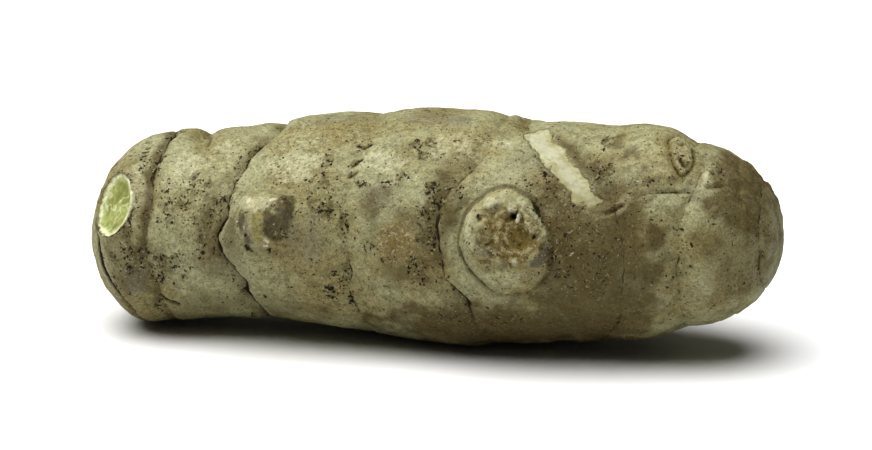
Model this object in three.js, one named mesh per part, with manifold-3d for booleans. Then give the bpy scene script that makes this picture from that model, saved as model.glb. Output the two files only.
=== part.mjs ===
// One finger of a white turmeric rhizome, grown as a single piece and lying on its side.
// Millimetres. +X runs from the broken end to the growing tip, +Z is up, and the two broken
// side shoots face -Y. The origin is under the middle of the finger's bounding box.
import * as THREE from "three";
import { mergeVertices } from "three/addons/utils/BufferGeometryUtils.js";
import Module from "manifold-3d";

const fingerLength = 94.6; // broken end to growing tip
const brokenDome = 9; // length over which the broken end rounds off
const tipDome = 12; // length over which the growing tip rounds off
const flattening = 1.05; // how much wider than tall the finger is
const restHeight = 0.1; // the underside is flat where the skin would reach below this height

const rowStep = 1.6; // the widest that the rows of the grid stand apart along the finger
const sides = 44; // grid columns around the finger

// Every place on the finger is given by `along`, the distance from the broken end, and
// `turn`, the angle round the finger in degrees: 0 faces -Y, 90 is the top, 180 is +Y.

// Where the finger's middle runs and how thick the finger is there.
const stations = [
  { along: 0, y: -0.6, z: 12.9, radius: 12.2 },
  { along: 8.6, y: -0.5, z: 13.2, radius: 13 },
  { along: 15.6, y: -0.2, z: 13.9, radius: 12.6 },
  { along: 23.6, y: 0.1, z: 15.1, radius: 13.2 },
  { along: 31.6, y: 0.4, z: 15.6, radius: 14.3 },
  { along: 40.6, y: 0.5, z: 15.75, radius: 15.1 },
  { along: 52.6, y: 0.4, z: 15.6, radius: 15.9 },
  { along: 61.6, y: 0.2, z: 15.6, radius: 15.1 },
  { along: 68.6, y: 0, z: 15.8, radius: 14.65 },
  { along: 77.6, y: -0.3, z: 16.5, radius: 14.1 },
  { along: 83, y: -0.6, z: 16.6, radius: 12.5 },
  { along: 94.6, y: -1.2, z: 16.6, radius: 11.6 },
];

// The scars that the scale leaves left: each is a valley round the finger, `depth` deep,
// and each of its pulls drags it `by` that much along the finger near one turn.
const leafScars = [
  { along: 2.2, depth: 0.25, pulls: [{ turn: -45, by: 3.2, wide: 35 }] },
  { along: 10.8, depth: 0.45, pulls: [{ turn: 112, by: -1.6, wide: 35 }] },
  { along: 26.4, depth: 0.5, pulls: [{ turn: 8, by: -6, wide: 40 }] },
  { along: 39.9, depth: 0.4, pulls: [{ turn: 15, by: -1.8, wide: 35 }, { turn: 186, by: -5, wide: 38 }] },
  { along: 57.6, depth: 0.5, pulls: [{ turn: 8, by: -7.4, wide: 38 }, { turn: 80, by: 2, wide: 22 }] },
  { along: 65.4, depth: 0.55, pulls: [{ turn: 5, by: 11, wide: 42 }, { turn: 92, by: -5.5, wide: 28 }] },
  { along: 72.5, depth: 0.3, pulls: [{ turn: 196, by: -3.5, wide: 40 }, { turn: 5, by: 6, wide: 30 }] },
  { along: 82.4, depth: 0.6, pulls: [{ turn: 63, by: 0.9, wide: 25 }] },
];
const scarWidth = 1.5; // half width of a leaf scar's valley

// What grew at the scars. Under each the skin swells by `mound` over `spread`. A stub is a
// side shoot that was broken off, `rise` high above the skin, with a crater in its top.
const stubs = [
  { along: 59.9, turn: 9, mound: 1.1, spread: 8.5, rise: 2.6, base: 6.2, rim: 4.7, crater: 3.6, sunk: 1.5,
    tall: 1.2 },
  { along: 26, turn: 14, mound: 0.9, spread: 6, rise: 1.8, base: 4.6, rim: 1.9, crater: 1, sunk: 0.4,
    tall: 0.85 },
  { along: 42.4, turn: 186, mound: 0.8, spread: 6.5, rise: 1.9, base: 4.7, rim: 3, crater: 2.2, sunk: 0.8,
    tall: 1.1 },
];
const buds = [
  { along: 13.2, turn: 108, mound: 0.9, spread: 4 },
  { along: 70.5, turn: 196, mound: 2, spread: 4.2 },
  { along: 81.4, turn: 63, mound: 0.6, spread: 3.4 },
  { along: 86.4, turn: 212, mound: 0.9, spread: 3.2 },
];
const growths = [...stubs, ...buds];

// The face left where the finger was snapped off its mother root.
const brokenFace = { along: 5.6, turn: 31, depth: 0.7, normal: [-0.68, -0.62, 0.4] };

const wasm = await Module();
wasm.setup();

const spine = new THREE.CubicInterpolant(
  stations.map((station) => station.along),
  stations.flatMap((station) => [station.y, station.z, station.radius]),
  3,
);

// How much of the full radius is left at a distance along the finger, 0 at each end.
function domeShare(along) {
  const fromEnd = Math.min(along / brokenDome, (fingerLength - along) / tipDome, 1);
  return Math.sqrt(Math.max(0, 1 - (1 - fromEnd) ** 2));
}

// The angle between two turns, in degrees, from 0 to 180.
function turnBetween(a, b) {
  return Math.abs(((((a - b) % 360) + 540) % 360) - 180);
}

function bell(x) {
  return Math.exp(-x * x);
}

function scarAlong({ along, pulls }, turn) {
  return pulls.reduce((sum, pull) => sum + pull.by * bell(turnBetween(turn, pull.turn) / pull.wide), along);
}

// How far the skin sinks at a place because of the leaf scars near it.
function scarSink(along, turn) {
  const sinks = leafScars.map((scar) => scar.depth * bell((along - scarAlong(scar, turn)) / scarWidth));
  return sinks.reduce((sum, sink) => sum + sink);
}

// How far the skin swells at a place because of what grew near it.
function moundRise(along, turn, radius) {
  return growths.reduce((rise, growth) => {
    const across = THREE.MathUtils.degToRad(turnBetween(turn, growth.turn)) * radius;
    return rise + growth.mound * bell(Math.hypot(along - growth.along, across) / growth.spread);
  }, 0);
}

function skinPoint(along, turn) {
  const [y, z, radius] = spine.evaluate(along);
  const r = (radius + moundRise(along, turn, radius) - scarSink(along, turn)) * domeShare(along);
  const angle = THREE.MathUtils.degToRad(turn);
  return new THREE.Vector3(along, y - r * flattening * Math.cos(angle), z + r * Math.sin(angle));
}

// The direction in which the skin faces at a place.
function skinNormal(along, turn) {
  const reach = 2; // far enough apart to even out the leaf scars
  const forward = skinPoint(along + reach, turn).sub(skinPoint(along - reach, turn));
  const round = skinPoint(along, turn + reach).sub(skinPoint(along, turn - reach));
  return forward.cross(round).normalize();
}

// Joins a primitive's seam and poles, so that it becomes one closed skin.
function welded(geometry) {
  geometry.deleteAttribute("normal");
  geometry.deleteAttribute("uv");
  const merged = mergeVertices(geometry, 1e-4);
  const corners = merged.index.array;
  const kept = [];
  for (let i = 0; i < corners.length; i += 3) {
    const [a, b, c] = corners.slice(i, i + 3);
    if (a !== b && b !== c && c !== a) kept.push(a, b, c);
  }
  return merged.setIndex(kept);
}

function solidOf(geometry) {
  const vertProperties = geometry.getAttribute("position").array;
  const triVerts = new Uint32Array(geometry.index.array);
  return new wasm.Manifold(new wasm.Mesh({ numProp: 3, vertProperties, triVerts }));
}

// The finger's two ends and the leaf scars between them, at one turn.
function landmarks(turn) {
  return [0, ...leafScars.map((scar) => scarAlong(scar, turn)), fingerLength];
}

// `growth` counts the landmarks passed, so that a row of the grid keeps to one share of the
// way between two scars as they wind round the finger. Rows crowd together at the ends.
function alongAt(growth, turn) {
  const marks = landmarks(turn);
  const gap = Math.min(Math.floor(growth), leafScars.length);
  const share = growth - gap;
  if (gap === 0) return marks[1] * share ** 2;
  if (gap === leafScars.length) return THREE.MathUtils.lerp(fingerLength, marks[gap], (1 - share) ** 2);
  return THREE.MathUtils.lerp(marks[gap], marks[gap + 1], share);
}

// The growth of each row of the grid, with enough rows in a gap for its widest side.
function growthRows() {
  const marksRound = Array.from({ length: sides }, (_, i) => landmarks((i / sides) * 360));
  const rows = [];
  for (let gap = 0; gap <= leafScars.length; gap++) {
    const widest = Math.max(...marksRound.map((marks) => marks[gap + 1] - marks[gap]));
    const count = Math.ceil(widest / rowStep);
    for (let i = 0; i < count; i++) rows.push(gap + i / count);
  }
  return [...rows, leafScars.length + 1];
}

// The ringed finger with its two rounded ends: a plain spindle whose points are then moved
// out to the skin.
function fingerSolid() {
  const rows = growthRows();
  const profile = rows.map((growth, i) => new THREE.Vector2(i % (rows.length - 1) ? 1 : 0, growth));
  const geometry = welded(new THREE.LatheGeometry(profile, sides));
  const points = geometry.getAttribute("position");
  for (let i = 0; i < points.count; i++) {
    const turn = THREE.MathUtils.radToDeg(Math.atan2(points.getZ(i), points.getX(i)));
    points.setXYZ(i, ...skinPoint(alongAt(points.getY(i), turn), turn));
  }
  return solidOf(geometry);
}

// A broken side shoot: a collar that narrows to a rim around a shallow crater. It is turned
// on its own Y axis, which then stands on the skin, and stretched round the finger.
function stubSolid({ along, turn, rise, base, rim, crater, sunk, tall }) {
  const rooted = -4; // how deep the collar goes on inside the finger
  const profile = [
    new THREE.Vector2(0, rooted),
    new THREE.Vector2(base, rooted),
    new THREE.Vector2(base, -0.2),
    new THREE.Vector2(base * 0.94, rise * 0.4),
    new THREE.Vector2((base + rim) / 2, rise * 0.8),
    new THREE.Vector2(rim, rise),
    new THREE.Vector2(crater, rise - sunk * 0.5),
    new THREE.Vector2(crater * 0.5, rise - sunk),
    new THREE.Vector2(0, rise - sunk * 0.8),
  ];
  const geometry = welded(new THREE.LatheGeometry(profile, 30)).scale(1, 1, tall);
  const outward = skinNormal(along, turn);
  const around = new THREE.Vector3(1, 0, 0).cross(outward).normalize();
  const forward = outward.clone().cross(around);
  const placed = new THREE.Matrix4().makeBasis(forward, outward, around);
  return solidOf(geometry.applyMatrix4(placed.setPosition(skinPoint(along, turn))));
}

// A block that takes away everything beyond a plane through `point` that faces `normal`.
function beyond(point, normal, size) {
  const block = welded(new THREE.BoxGeometry(size, size, size)).translate(0, size / 2, 0);
  block.applyQuaternion(new THREE.Quaternion().setFromUnitVectors(new THREE.Vector3(0, 1, 0), normal));
  return solidOf(block.translate(point.x, point.y, point.z));
}

function rhizomeSolid() {
  const faceNormal = new THREE.Vector3(...brokenFace.normal).normalize();
  const facePoint = skinPoint(brokenFace.along, brokenFace.turn).addScaledVector(faceNormal, -brokenFace.depth);
  const floorPoint = new THREE.Vector3(fingerLength / 2, 0, restHeight);
  return stubs
    .reduce((whole, stub) => whole.add(stubSolid(stub)), fingerSolid())
    .subtract(beyond(facePoint, faceNormal, 30))
    .subtract(beyond(floorPoint, new THREE.Vector3(0, 0, -1), fingerLength * 2));
}

// The solid's mesh, moved so that the origin is under the middle of its bounding box.
function centredGeometry(solid) {
  const { numProp, vertProperties, triVerts } = solid.getMesh();
  const geometry = new THREE.BufferGeometry()
    .setAttribute("position", new THREE.BufferAttribute(new Float32Array(vertProperties), numProp))
    .setIndex(new THREE.BufferAttribute(new Uint32Array(triVerts), 1));
  geometry.computeBoundingBox();
  const { min, max } = geometry.boundingBox;
  geometry.translate(-(min.x + max.x) / 2, -(min.y + max.y) / 2, -min.z);
  geometry.computeVertexNormals();
  return geometry;
}

const skin = new THREE.MeshStandardMaterial({ color: 0xa89f76, roughness: 0.72, metalness: 0 });
const rhizome = new THREE.Mesh(centredGeometry(rhizomeSolid()), skin);
rhizome.name = "rhizome";

const part = new THREE.Group();
part.add(rhizome);
export default part;
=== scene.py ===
import math

import bpy
import numpy as np
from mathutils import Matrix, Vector, noise
from mathutils.bvhtree import BVHTree


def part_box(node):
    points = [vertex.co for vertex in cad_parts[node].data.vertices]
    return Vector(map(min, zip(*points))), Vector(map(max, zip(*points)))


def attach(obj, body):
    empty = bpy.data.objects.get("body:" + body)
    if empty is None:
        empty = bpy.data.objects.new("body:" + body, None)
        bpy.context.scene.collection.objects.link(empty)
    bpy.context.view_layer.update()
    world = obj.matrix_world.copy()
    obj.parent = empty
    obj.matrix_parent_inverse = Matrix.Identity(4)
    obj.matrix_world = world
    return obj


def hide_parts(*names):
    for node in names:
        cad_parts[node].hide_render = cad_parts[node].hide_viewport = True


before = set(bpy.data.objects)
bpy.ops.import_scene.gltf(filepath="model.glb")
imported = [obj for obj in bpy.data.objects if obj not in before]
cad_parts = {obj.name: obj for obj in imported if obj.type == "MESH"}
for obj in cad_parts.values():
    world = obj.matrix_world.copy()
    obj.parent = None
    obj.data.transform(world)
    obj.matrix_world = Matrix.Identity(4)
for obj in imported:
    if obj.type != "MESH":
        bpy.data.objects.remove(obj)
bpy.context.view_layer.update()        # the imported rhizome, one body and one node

lowCorner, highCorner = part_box("rhizome")
mm = 0.001
fingerLength = (highCorner.x - lowCorner.x) / mm

# A place on the finger is (along, turn): mm from the broken end, and degrees round it,
# 0 at the side with the two stubs, 90 at the top, 180 at the back.


# The bare skin, taken from the solid.

skinGrid = {
    "barrelRows": 274,  # between the rounded ends
    "brokenRows": 62,  # over the broken end
    "tipRows": 66,
    "columns": 247,
    "closerRows": (22, 70, 1.5),  # from along to along, so many times closer together
    "closerColumns": (-45, 85, 2.1),  # from turn to turn
    "brokenDome": 9.0,  # mm over which each end rounds off
    "tipDome": 12.0,
    "steepest": 89.3,  # degrees that the last rows tilt, just short of the poles
    "sideBend": ((0, -0.2), (30, 0.8), (60, 0.6), (95, -0.8)),  # where the middle runs in y, in mm
    "evenOut": 70,  # passes that smooth the solid's flat facets away
}

brokenFace = {
    "facing": (-0.68, -0.62, 0.4),
    # how far its edge is from its middle, by angle: 0 sideways, 90 upward
    "outline": (
        (0, 4), (50, 4.1), (85, 4.5), (115, 4.7), (145, 4.3), (180, 3.6), (210, 3.5), (250, 3.9),
        (290, 4.2), (330, 4.1),
    ),
    "shift": (0.3, 0),  # mm from the middle of the solid's face, sideways and up
    "edgeDark": ((0, 0.7), (60, 0.3), (100, 0.1), (200, 0.1), (250, 0.9), (300, 0.8)),
    "lip": 0.2,  # mm that the torn skin stands up round it
    "hollow": 0.3,  # mm that the flesh has shrunk inside the lip
}

stubs = {
    "large": {
        "along": 59.9, "turn": 9.5, "seed": 3,
        # how far the outline is from the middle, by angle: 0 toward the tip, 90 upward
        "outline": (
            (0, 6.2), (29, 5.8), (73, 6.5), (92, 6.9), (128, 6.3), (176, 5.9), (227, 6.1), (278, 7.1),
            (310, 7.2),
        ),
        "rise": 2.5, "soft": 0.3, "shoulders": ((70, 0.28), (180, 0.46), (275, 0.95), (330, 0.6)),
        "highSide": 75, "tilt": 0.12,
        # how dark the line round it is, and how deep, by angle; near 48 degrees the dark is painted shadow
        # under the rim
        "outlineDark": (
            (0, 0.1), (20, 0.1), (48, 0.8), (80, 0.1), (185, 0.3), (205, 0.5), (228, 0.6), (258, 0.55),
            (280, 0.4), (300, 0.35), (322, 0.5), (340, 0.25),
        ),
        # dark dots (u, v, radius) and cracks (path in u, v; how dark)
        "dots": ((1.2, 3.4, 0.1), (-3.3, 3.2, 0.1), (4.1, 0.9, 0.05)),
        "cracks": (
            (((-4.1, 1.9), (-3.9, 0.8), (-3.1, 0), (-2.3, 0.2)), 0.45), (((-1.2, 2.5), (-1, 0.8)), 0.35),
            (((-1.9, -0.8), (-1.1, -1.8)), 0.6), (((0.4, 5.9), (1.5, 4.5), (2.3, 3.2)), 0.45),
            (((3.9, 3.5), (5, 1.9)), 0.3), (((0, 0.3), (0.6, -0.6), (1.4, -0.7), (2.2, -0.3)), 0.35),
            (((-3.7, -2.2), (-2.9, -2.5), (-1.9, -2.3)), 0.5),
        ),
    },
    "small": {
        "along": 26.9, "turn": 15, "seed": 11,
        "outline": ((0, 4), (30, 4.3), (69, 3.9), (100, 3.9), (160, 4.1), (232, 4.6), (271, 4.5), (314, 4.6)),
        "rise": 2.2, "soft": 0.75, "shoulders": ((90, 0.9), (270, 1)), "highSide": 120, "tilt": 0.1,
        "outlineDark": ((0, 0), (60, 0.1), (120, 0), (180, 0), (225, 0.3), (245, 0.6), (270, 0.2), (310, 0)),
        "dots": (
            (-2.2, -3.9, 0.12), (0.9, -4, 0), (-2.1, -2.2, 0), (2.2, 2.4, 0), (-2.9, -1.3, -0.05),
            (-1.9, 0.7, -0.08), (2, -1, -0.08),
        ),
        "cracks": (
            (((2.2, 2.9), (1.9, 2), (1.4, 1.3)), 0.45), (((-2, 1.3), (-1.3, 0.9)), 0.4),
            (((3.4, 0.9), (3.5, -0.8), (3.2, -2.4)), 0.4), (((-1.9, -2.9), (-2.2, -3.6)), 0.6),
            (((-2.9, -0.6), (-2.6, -1.9)), 0.4),
        ),
    },
    "back": {
        "along": 42.4, "turn": 186, "seed": 23,
        "outline": ((0, 4.8), (70, 5.4), (100, 5), (170, 4.6), (230, 5.2), (290, 4.9)),
        "rise": 2.4, "soft": 0, "shoulders": ((60, 0.25), (240, 0.6)), "highSide": 60, "tilt": 0.15,
        "outlineDark": ((0, 0.8), (60, 0.5), (120, 0.9), (200, 0.4), (260, 0.9), (320, 0.4)),
        "dots": ((0.3, 0.2, 0.15), (-1.4, 1.6, 0.05)),
        "cracks": ((((-1.8, -0.4), (-0.6, -1.7), (1.2, -1.5)), 0.7),),
    },
}


def turnApart(a, b):
    return (a - b + 180) % 360 - 180


def bell(x):
    return np.exp(-x * x)


def ease(x, low, high):  # 0 at low, 1 at high
    share = np.clip((x - low) / (high - low), 0, 1)
    return share * share * (3 - 2 * share)


def spacedOut(low, high, count, closer):  # places from low to high, closer together over one stretch
    first, last, gain = closer
    fade = 6  # mm or degrees over which the spacing changes
    places = np.linspace(low, high, 4000)
    within = ease(places, first - fade, first + fade) * ease(places, last + fade, last - fade)
    weight = 1 + (gain - 1) * within
    share = np.cumsum(weight) - weight[0]
    return np.interp(np.linspace(0, 1, count, endpoint=False), share / share[-1], places)


def byAngle(angle, knots):  # a smooth value round a circle, through a few (degrees, value) knots
    degrees = np.degrees(angle) % 360
    knots = [(knots[-1][0] - 360, knots[-1][1]), *knots, (knots[0][0] + 360, knots[0][1])]
    value = np.zeros(degrees.shape)
    for (start, first), (end, last) in zip(knots[:-1], knots[1:]):
        within = (degrees >= start) & (degrees < end)
        value = np.where(within, first + (last - first) * ease(degrees, start, end), value)
    return value


def leaned(u, v, lean):  # (u, v) as seen along axes turned by lean degrees
    angle = math.radians(lean)
    return u * math.cos(angle) + v * math.sin(angle), v * math.cos(angle) - u * math.sin(angle)


def evened(field, passes):  # averages each point with its four neighbours
    for _ in range(passes):
        rows = np.concatenate([field[:1], field, field[-1:]])
        around = np.roll(field, 1, 1) + np.roll(field, -1, 1)
        field = 0.5 * field + 0.125 * (around + rows[2:] + rows[:-2])
    return field


def filledIn(field, hole):  # carries the field round a hole smoothly across it
    field = np.where(hole, np.median(field[evened(hole * 1.0, 6) > 0.02]), field)
    for _ in range(90):  # enough to reach the middle of the widest stub's hole
        field = np.where(hole, evened(field, 8), field)
    return field


# Smooth noise from about -1 to 1, in blobs of size mm; another seed is another stretch of it.
def mottle(places, size, octaves=1, seed=0):
    spots = (places.reshape(-1, 3) / np.array(size) + seed * 7.31).tolist()
    if octaves == 1:
        values = [noise.noise(spot) for spot in spots]
    else:
        values = [noise.fractal(spot, 0.9, 2.0, octaves) for spot in spots]
    return np.array(values).reshape(places.shape[:-1])


def normalsOf(places):
    around = np.roll(places, -1, 1) - np.roll(places, 1, 1)
    forward = np.gradient(places, axis=0)
    normals = np.cross(forward, around)
    return normals / np.linalg.norm(normals, axis=2, keepdims=True)


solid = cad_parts["rhizome"].data
solidTree = BVHTree.FromPolygons([v.co / mm for v in solid.vertices], [p.vertices[:] for p in solid.polygons])
measured = (5, fingerLength - 6)  # the stretch over which the finger's middle is measured


def middleLine():  # the finger's middle as two curves over along, from the solid
    stations = np.linspace(*measured, 24)
    sides = np.interp(stations, *zip(*skinGrid["sideBend"]))
    heights = []
    for station, side in zip(stations, sides):
        start = Vector((lowCorner.x / mm + station, side, highCorner.z / mm / 2))
        top, bottom = (solidTree.ray_cast(start, Vector((0, 0, way)))[0].z for way in (1, -1))
        heights.append((top + bottom) / 2)
    return np.polyfit(stations, sides, 4), np.polyfit(stations, heights, 5)


middleY, middleZ = middleLine()


def middleAt(stations):
    inside = np.clip(stations, *measured)
    return np.polyval(middleY, inside), np.polyval(middleZ, inside)


def placesOf(places):  # the (along, turn) of each point
    stations = places[..., 0] - lowCorner.x / mm
    y, z = middleAt(stations)
    return stations, np.degrees(np.arctan2(places[..., 2] - z, y - places[..., 1]))


def castSkin():  # rays from the middle outward, row by row
    start, end = skinGrid["brokenDome"], fingerLength - skinGrid["tipDome"]
    steepest = skinGrid["steepest"]
    barrel = spacedOut(start, end, skinGrid["barrelRows"], skinGrid["closerRows"])
    brokenTilts = np.radians(np.linspace(-steepest, 0, skinGrid["brokenRows"], endpoint=False))
    tipTilts = np.radians(np.linspace(0, steepest, skinGrid["tipRows"]))
    stations = np.concatenate([np.full(len(brokenTilts), start), barrel, np.full(len(tipTilts), end)])
    tilts = np.concatenate([brokenTilts, np.zeros(len(barrel)), tipTilts])[:, None]
    turns = np.radians(spacedOut(-170, 190, skinGrid["columns"], skinGrid["closerColumns"]))
    y, z = middleAt(stations)
    origins = np.stack([stations + lowCorner.x / mm, y, z], axis=1)[:, None, :]
    parts = (np.sin(tilts), -np.cos(tilts) * np.cos(turns), np.cos(tilts) * np.sin(turns))
    rays = np.stack(np.broadcast_arrays(*parts), axis=2)
    reach = np.zeros(rays.shape[:2])
    facing = np.zeros(rays.shape)
    for row in range(len(stations)):
        origin = Vector(origins[row, 0])
        for column, ray in enumerate(rays[row]):
            _, normal, _, distance = solidTree.ray_cast(origin, Vector(ray))
            reach[row, column] = distance
            facing[row, column] = normal
    return origins, rays, reach, facing


faceNormal = np.array(Vector(brokenFace["facing"]).normalized())
flatLimit = 0.9995  # a facet whose normal follows the broken face's this closely is part of it
usualRadius = 16  # mm, roughly the finger's where the stubs grow


def bareSkin():  # the solid without its stubs and its broken face, smoothed
    origins, rays, reach, facing = castSkin()
    places = origins + rays * reach[..., None]
    stations, turns = placesOf(places)
    hole = evened((facing @ faceNormal > flatLimit) * 1.0, 4) > 0.02
    for stub in stubs.values():
        across = np.radians(turnApart(turns, stub["turn"])) * usualRadius
        clear = 1.12 * max(knot[1] for knot in stub["outline"])  # a little past its edge
        hole |= np.hypot(stations - stub["along"], across) < clear
    reach = evened(filledIn(reach, hole), skinGrid["evenOut"])
    return origins + rays * reach[..., None]


bare = bareSkin()
along, turn = placesOf(bare)
bareNormals = normalsOf(bare)
radius = np.linalg.norm(bare[..., 1:] - np.stack(middleAt(along), axis=2), axis=2)
print("bare skin:", bare.shape[0], "rows of", bare.shape[1], "points")


# What the features leave on the skin: dark lines and pigments.

farOff = 9.0  # mm, past the reach of any dark line
lines = {
    "gap": np.full(along.shape, farOff),
    "side": np.ones(along.shape),
    "strength": np.ones(along.shape),
}
pigments = {
    name: np.zeros(along.shape)
    for name in ("soil", "umber", "ash", "rust", "cream", "yolk", "callus", "chalkAndHighlight", "scurf")
}
edgeReach = 3.0
# how many mm inside the peeled strip and the broken face each point is, below 0 outside
edges = {name: np.full(along.shape, -edgeReach) for name in ("peel", "flesh")}
wander = mottle(bare, 2.6, 3, seed=5)
flutter = mottle(bare, 0.9, 2, seed=6)


def addLine(distance, strength=1.0):  # a dark line where the distance in mm changes sign
    nearer = np.abs(distance) < lines["gap"]
    lines["side"] *= np.where(distance < 0, -1.0, 1.0)
    lines["strength"] = np.where(nearer, strength, lines["strength"])
    lines["gap"] = np.minimum(lines["gap"], np.abs(distance))


def addLineNear(distance, strength, near, least=0.3):  # only where near is past least
    addLine(np.where(near > least, distance, farOff), strength)


def daub(pigment, amount):
    pigments[pigment] = np.maximum(pigments[pigment], np.clip(amount, 0, 1))


def acrossFrom(centreTurn):  # mm round the finger from a turn
    return np.radians(turnApart(turn, centreTurn)) * radius


def spread(centreAlong, centreTurn, long, tall):  # 1 in the middle of a soft oval, 0 outside
    apart = np.hypot((along - centreAlong) / long, acrossFrom(centreTurn) / tall) * (1 + 0.45 * wander)
    return ease(apart, 1.25, 0.55)


# About a place on the skin: u toward the tip and v upward, in mm, where the skin is near (1) or has
# turned away from it (0), and the way out of the skin there.
def frameAt(centreAlong, centreTurn, lean=0):
    across = acrossFrom(centreTurn)
    apart = np.hypot(along - centreAlong, across)
    centre = bare[np.unravel_index(apart.argmin(), apart.shape)]
    outward = bareNormals[apart < 3].mean(0)
    outward /= np.linalg.norm(outward)
    forward = np.array((1.0, 0, 0)) - outward * outward[0]
    forward /= np.linalg.norm(forward)
    offset = bare - centre
    u, v = leaned(offset @ forward, offset @ np.cross(outward, forward), lean)
    near = ease(bareNormals @ outward, 0.1, 0.3)
    return u, v, near, outward


offPath = 99.0  # mm, far from any path


def pathDistance(x, y, path):  # mm to a line through a few points
    nearest = np.full(np.shape(x), offPath)
    for (x0, y0), (x1, y1) in zip(path[:-1], path[1:]):
        wide, tall = x1 - x0, y1 - y0
        share = np.clip(((x - x0) * wide + (y - y0) * tall) / (wide**2 + tall**2), 0, 1)
        nearest = np.minimum(nearest, np.hypot(x - x0 - share * wide, y - y0 - share * tall))
    return nearest


def skinPath(path):  # mm from each point of the skin to a path of (along, turn) places
    girth = 14.5  # mm, the radius at which the skin is laid flat
    middle = sum(place[1] for place in path) / len(path)
    around = turnApart(turn, middle)
    flat = [(place[0], np.radians(place[1] - middle) * girth) for place in path]
    apart = pathDistance(along + 0.25 * flutter, np.radians(around) * girth + 0.25 * wander, flat)
    return np.where(np.abs(around) < 75, apart, offPath)  # not round on the far side


# The leaf scars.

# The course of each is (turn, along) knots, and its line's darkness is (turn, value) knots. Depth, valley
# and step are in mm, and the dirt is (mm wide, strength).
leafScars = (
    {
        "course": ((2, 3), (-13, 3.7), (-25, 5), (-40, 6.9), (-65, 8), (-120, 5.5), (180, 2.8), (60, 2.2)),
        "dark": ((15, 0.3), (3, 2.2), (-28, 2.2), (-40, 1), (-70, 0.2), (180, 0.5)),
        "depth": 0.55, "valley": 0.15, "step": 0.1, "dirt": (0.8, 1),
    },
    {
        "course": (
            (112, 10.2), (88, 11.3), (78, 10.8), (62, 10.7), (50, 10.3), (28, 10.7), (1, 10.3),
            (-13, 10.8), (-25, 12), (-90, 12.4), (180, 10.8),
        ),
        "dark": (
            (95, 0.9), (85, 1), (70, 0.5), (60, 0.9), (40, 0.7), (20, 0.25), (5, 0.5), (-15, 0.8),
            (-30, 0.2), (180, 0.7),
        ),
        "depth": 0.25, "valley": 0.28, "step": 0.05, "dirt": (0.9, 1.2),
    },
    {
        "course": (
            (110, 26.4), (81, 26.2), (66, 25), (50, 23.2), (37, 21.9), (27, 21.5), (18, 21.7), (8, 20),
            (-3, 20.6), (-16, 22.6), (-23, 23.7), (-30, 23.6), (-38, 24.3), (-52, 25), (-90, 26.4),
            (180, 26),
        ),
        "dark": (
            (110, 0.6), (82, 0.9), (60, 1), (40, 0.8), (10, 0.9), (-10, 0.9), (-35, 1), (-60, 0.6),
            (180, 0.8),
        ),
        "depth": 0.35, "valley": 0.4, "step": 0.28, "dirt": (1.1, 0.7),
    },
    {
        "course": (
            (107, 39.3), (87, 39.2), (75, 40.4), (56, 39.2), (37, 38.1), (21, 37.4), (8, 37.8),
            (-2, 38.6), (-16, 38.9), (-23, 38.3), (-33, 39), (-60, 39.6), (-100, 40.4), (220, 37.6),
            (186, 35), (150, 37.6),
        ),
        "dark": (
            (110, 0.5), (90, 0.3), (75, 0.2), (40, 0.3), (20, 0.5), (-2, 0.6), (-20, 0.8), (-35, 0.7),
            (-60, 0.3), (186, 0.9),
        ),
        "depth": 0.16, "valley": 0.14, "step": 0.1, "dirt": (0.8, 0.35),
    },
    {
        "course": (
            (110, 56.4), (75, 56.8), (52, 55.6), (39, 53.8), (31, 51.7), (22, 50.7), (12, 50.7),
            (-2, 51.1), (-12, 52), (-21, 54.6), (-34, 55), (-60, 56.4), (-100, 57.6), (180, 57.6),
        ),
        "dark": (
            (110, 0.2), (70, 0), (52, 0), (40, 0.8), (22, 0.7), (5, 0.8), (-12, 0.9), (-22, 0.85),
            (-30, 0.5), (-50, 0.1), (180, 0.8),
        ),
        "depth": 0.26, "valley": 0.28, "step": 0.16, "dirt": (1, 0.6),
    },
    {
        "course": (
            (115, 59.6), (91, 59.3), (79, 60.8), (69, 65.8), (60, 67.7), (52, 68.9), (45, 70.5),
            (35, 72.8), (20, 74.6), (0, 75.6), (-35, 74.6), (-70, 71), (-110, 67), (180, 65.4),
        ),
        "dark": ((115, 0.4), (90, 0.4), (75, 0.2), (50, 0.2), (35, 0.5), (10, 0.5), (-30, 0.6), (180, 0.6)),
        "depth": 0.12, "valley": 0.16, "step": 0.06, "dirt": (1.3, 0.55),
    },
    {
        "course": (
            (100, 71.6), (70, 71.4), (50, 72.4), (35, 73.6), (10, 77), (-35, 76.8), (-90, 73.5),
            (196, 69), (140, 71),
        ),
        "dark": ((90, 0.3), (40, 0.2), (0, 0.3), (180, 0.5)),
        "depth": 0.06, "valley": 0.06, "step": 0.05, "dirt": (0.8, 0.3),
    },
    {
        "course": (
            (115, 82.4), (88, 82.7), (71, 83.6), (60, 84.7), (48, 84.2), (25, 82.9), (0, 82.4),
            (-90, 82.6), (180, 82),
        ),
        "dark": ((110, 0.5), (70, 0.5), (45, 0.3), (0, 0.5), (180, 0.7)),
        "depth": 0.16, "valley": 0.22, "step": 0.1, "dirt": (1, 0.5),
    },
    {
        "course": ((90, 88.4), (40, 90), (0, 89.2), (-90, 88.6), (230, 86.6), (150, 88.2)),
        "dark": ((60, 0.35), (0, 0.3), (180, 0.6)),
        "depth": 0.14, "valley": 0.12, "step": 0.12, "dirt": (0.8, 0.5),
    },
    {
        "course": ((100, 91.6), (0, 92.5), (-90, 92.4), (180, 92.2)),
        "dark": ((0, 0.45), (180, 0.6)),
        "depth": 0.18, "valley": 0.12, "step": 0.18, "dirt": (0.7, 0.6),
    },
)


def roundValue(knots, off=0.0):  # from knot to knot round the finger, each knot being (turn, value)
    return np.interp(turn + off, *zip(*knots), period=360)


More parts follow.
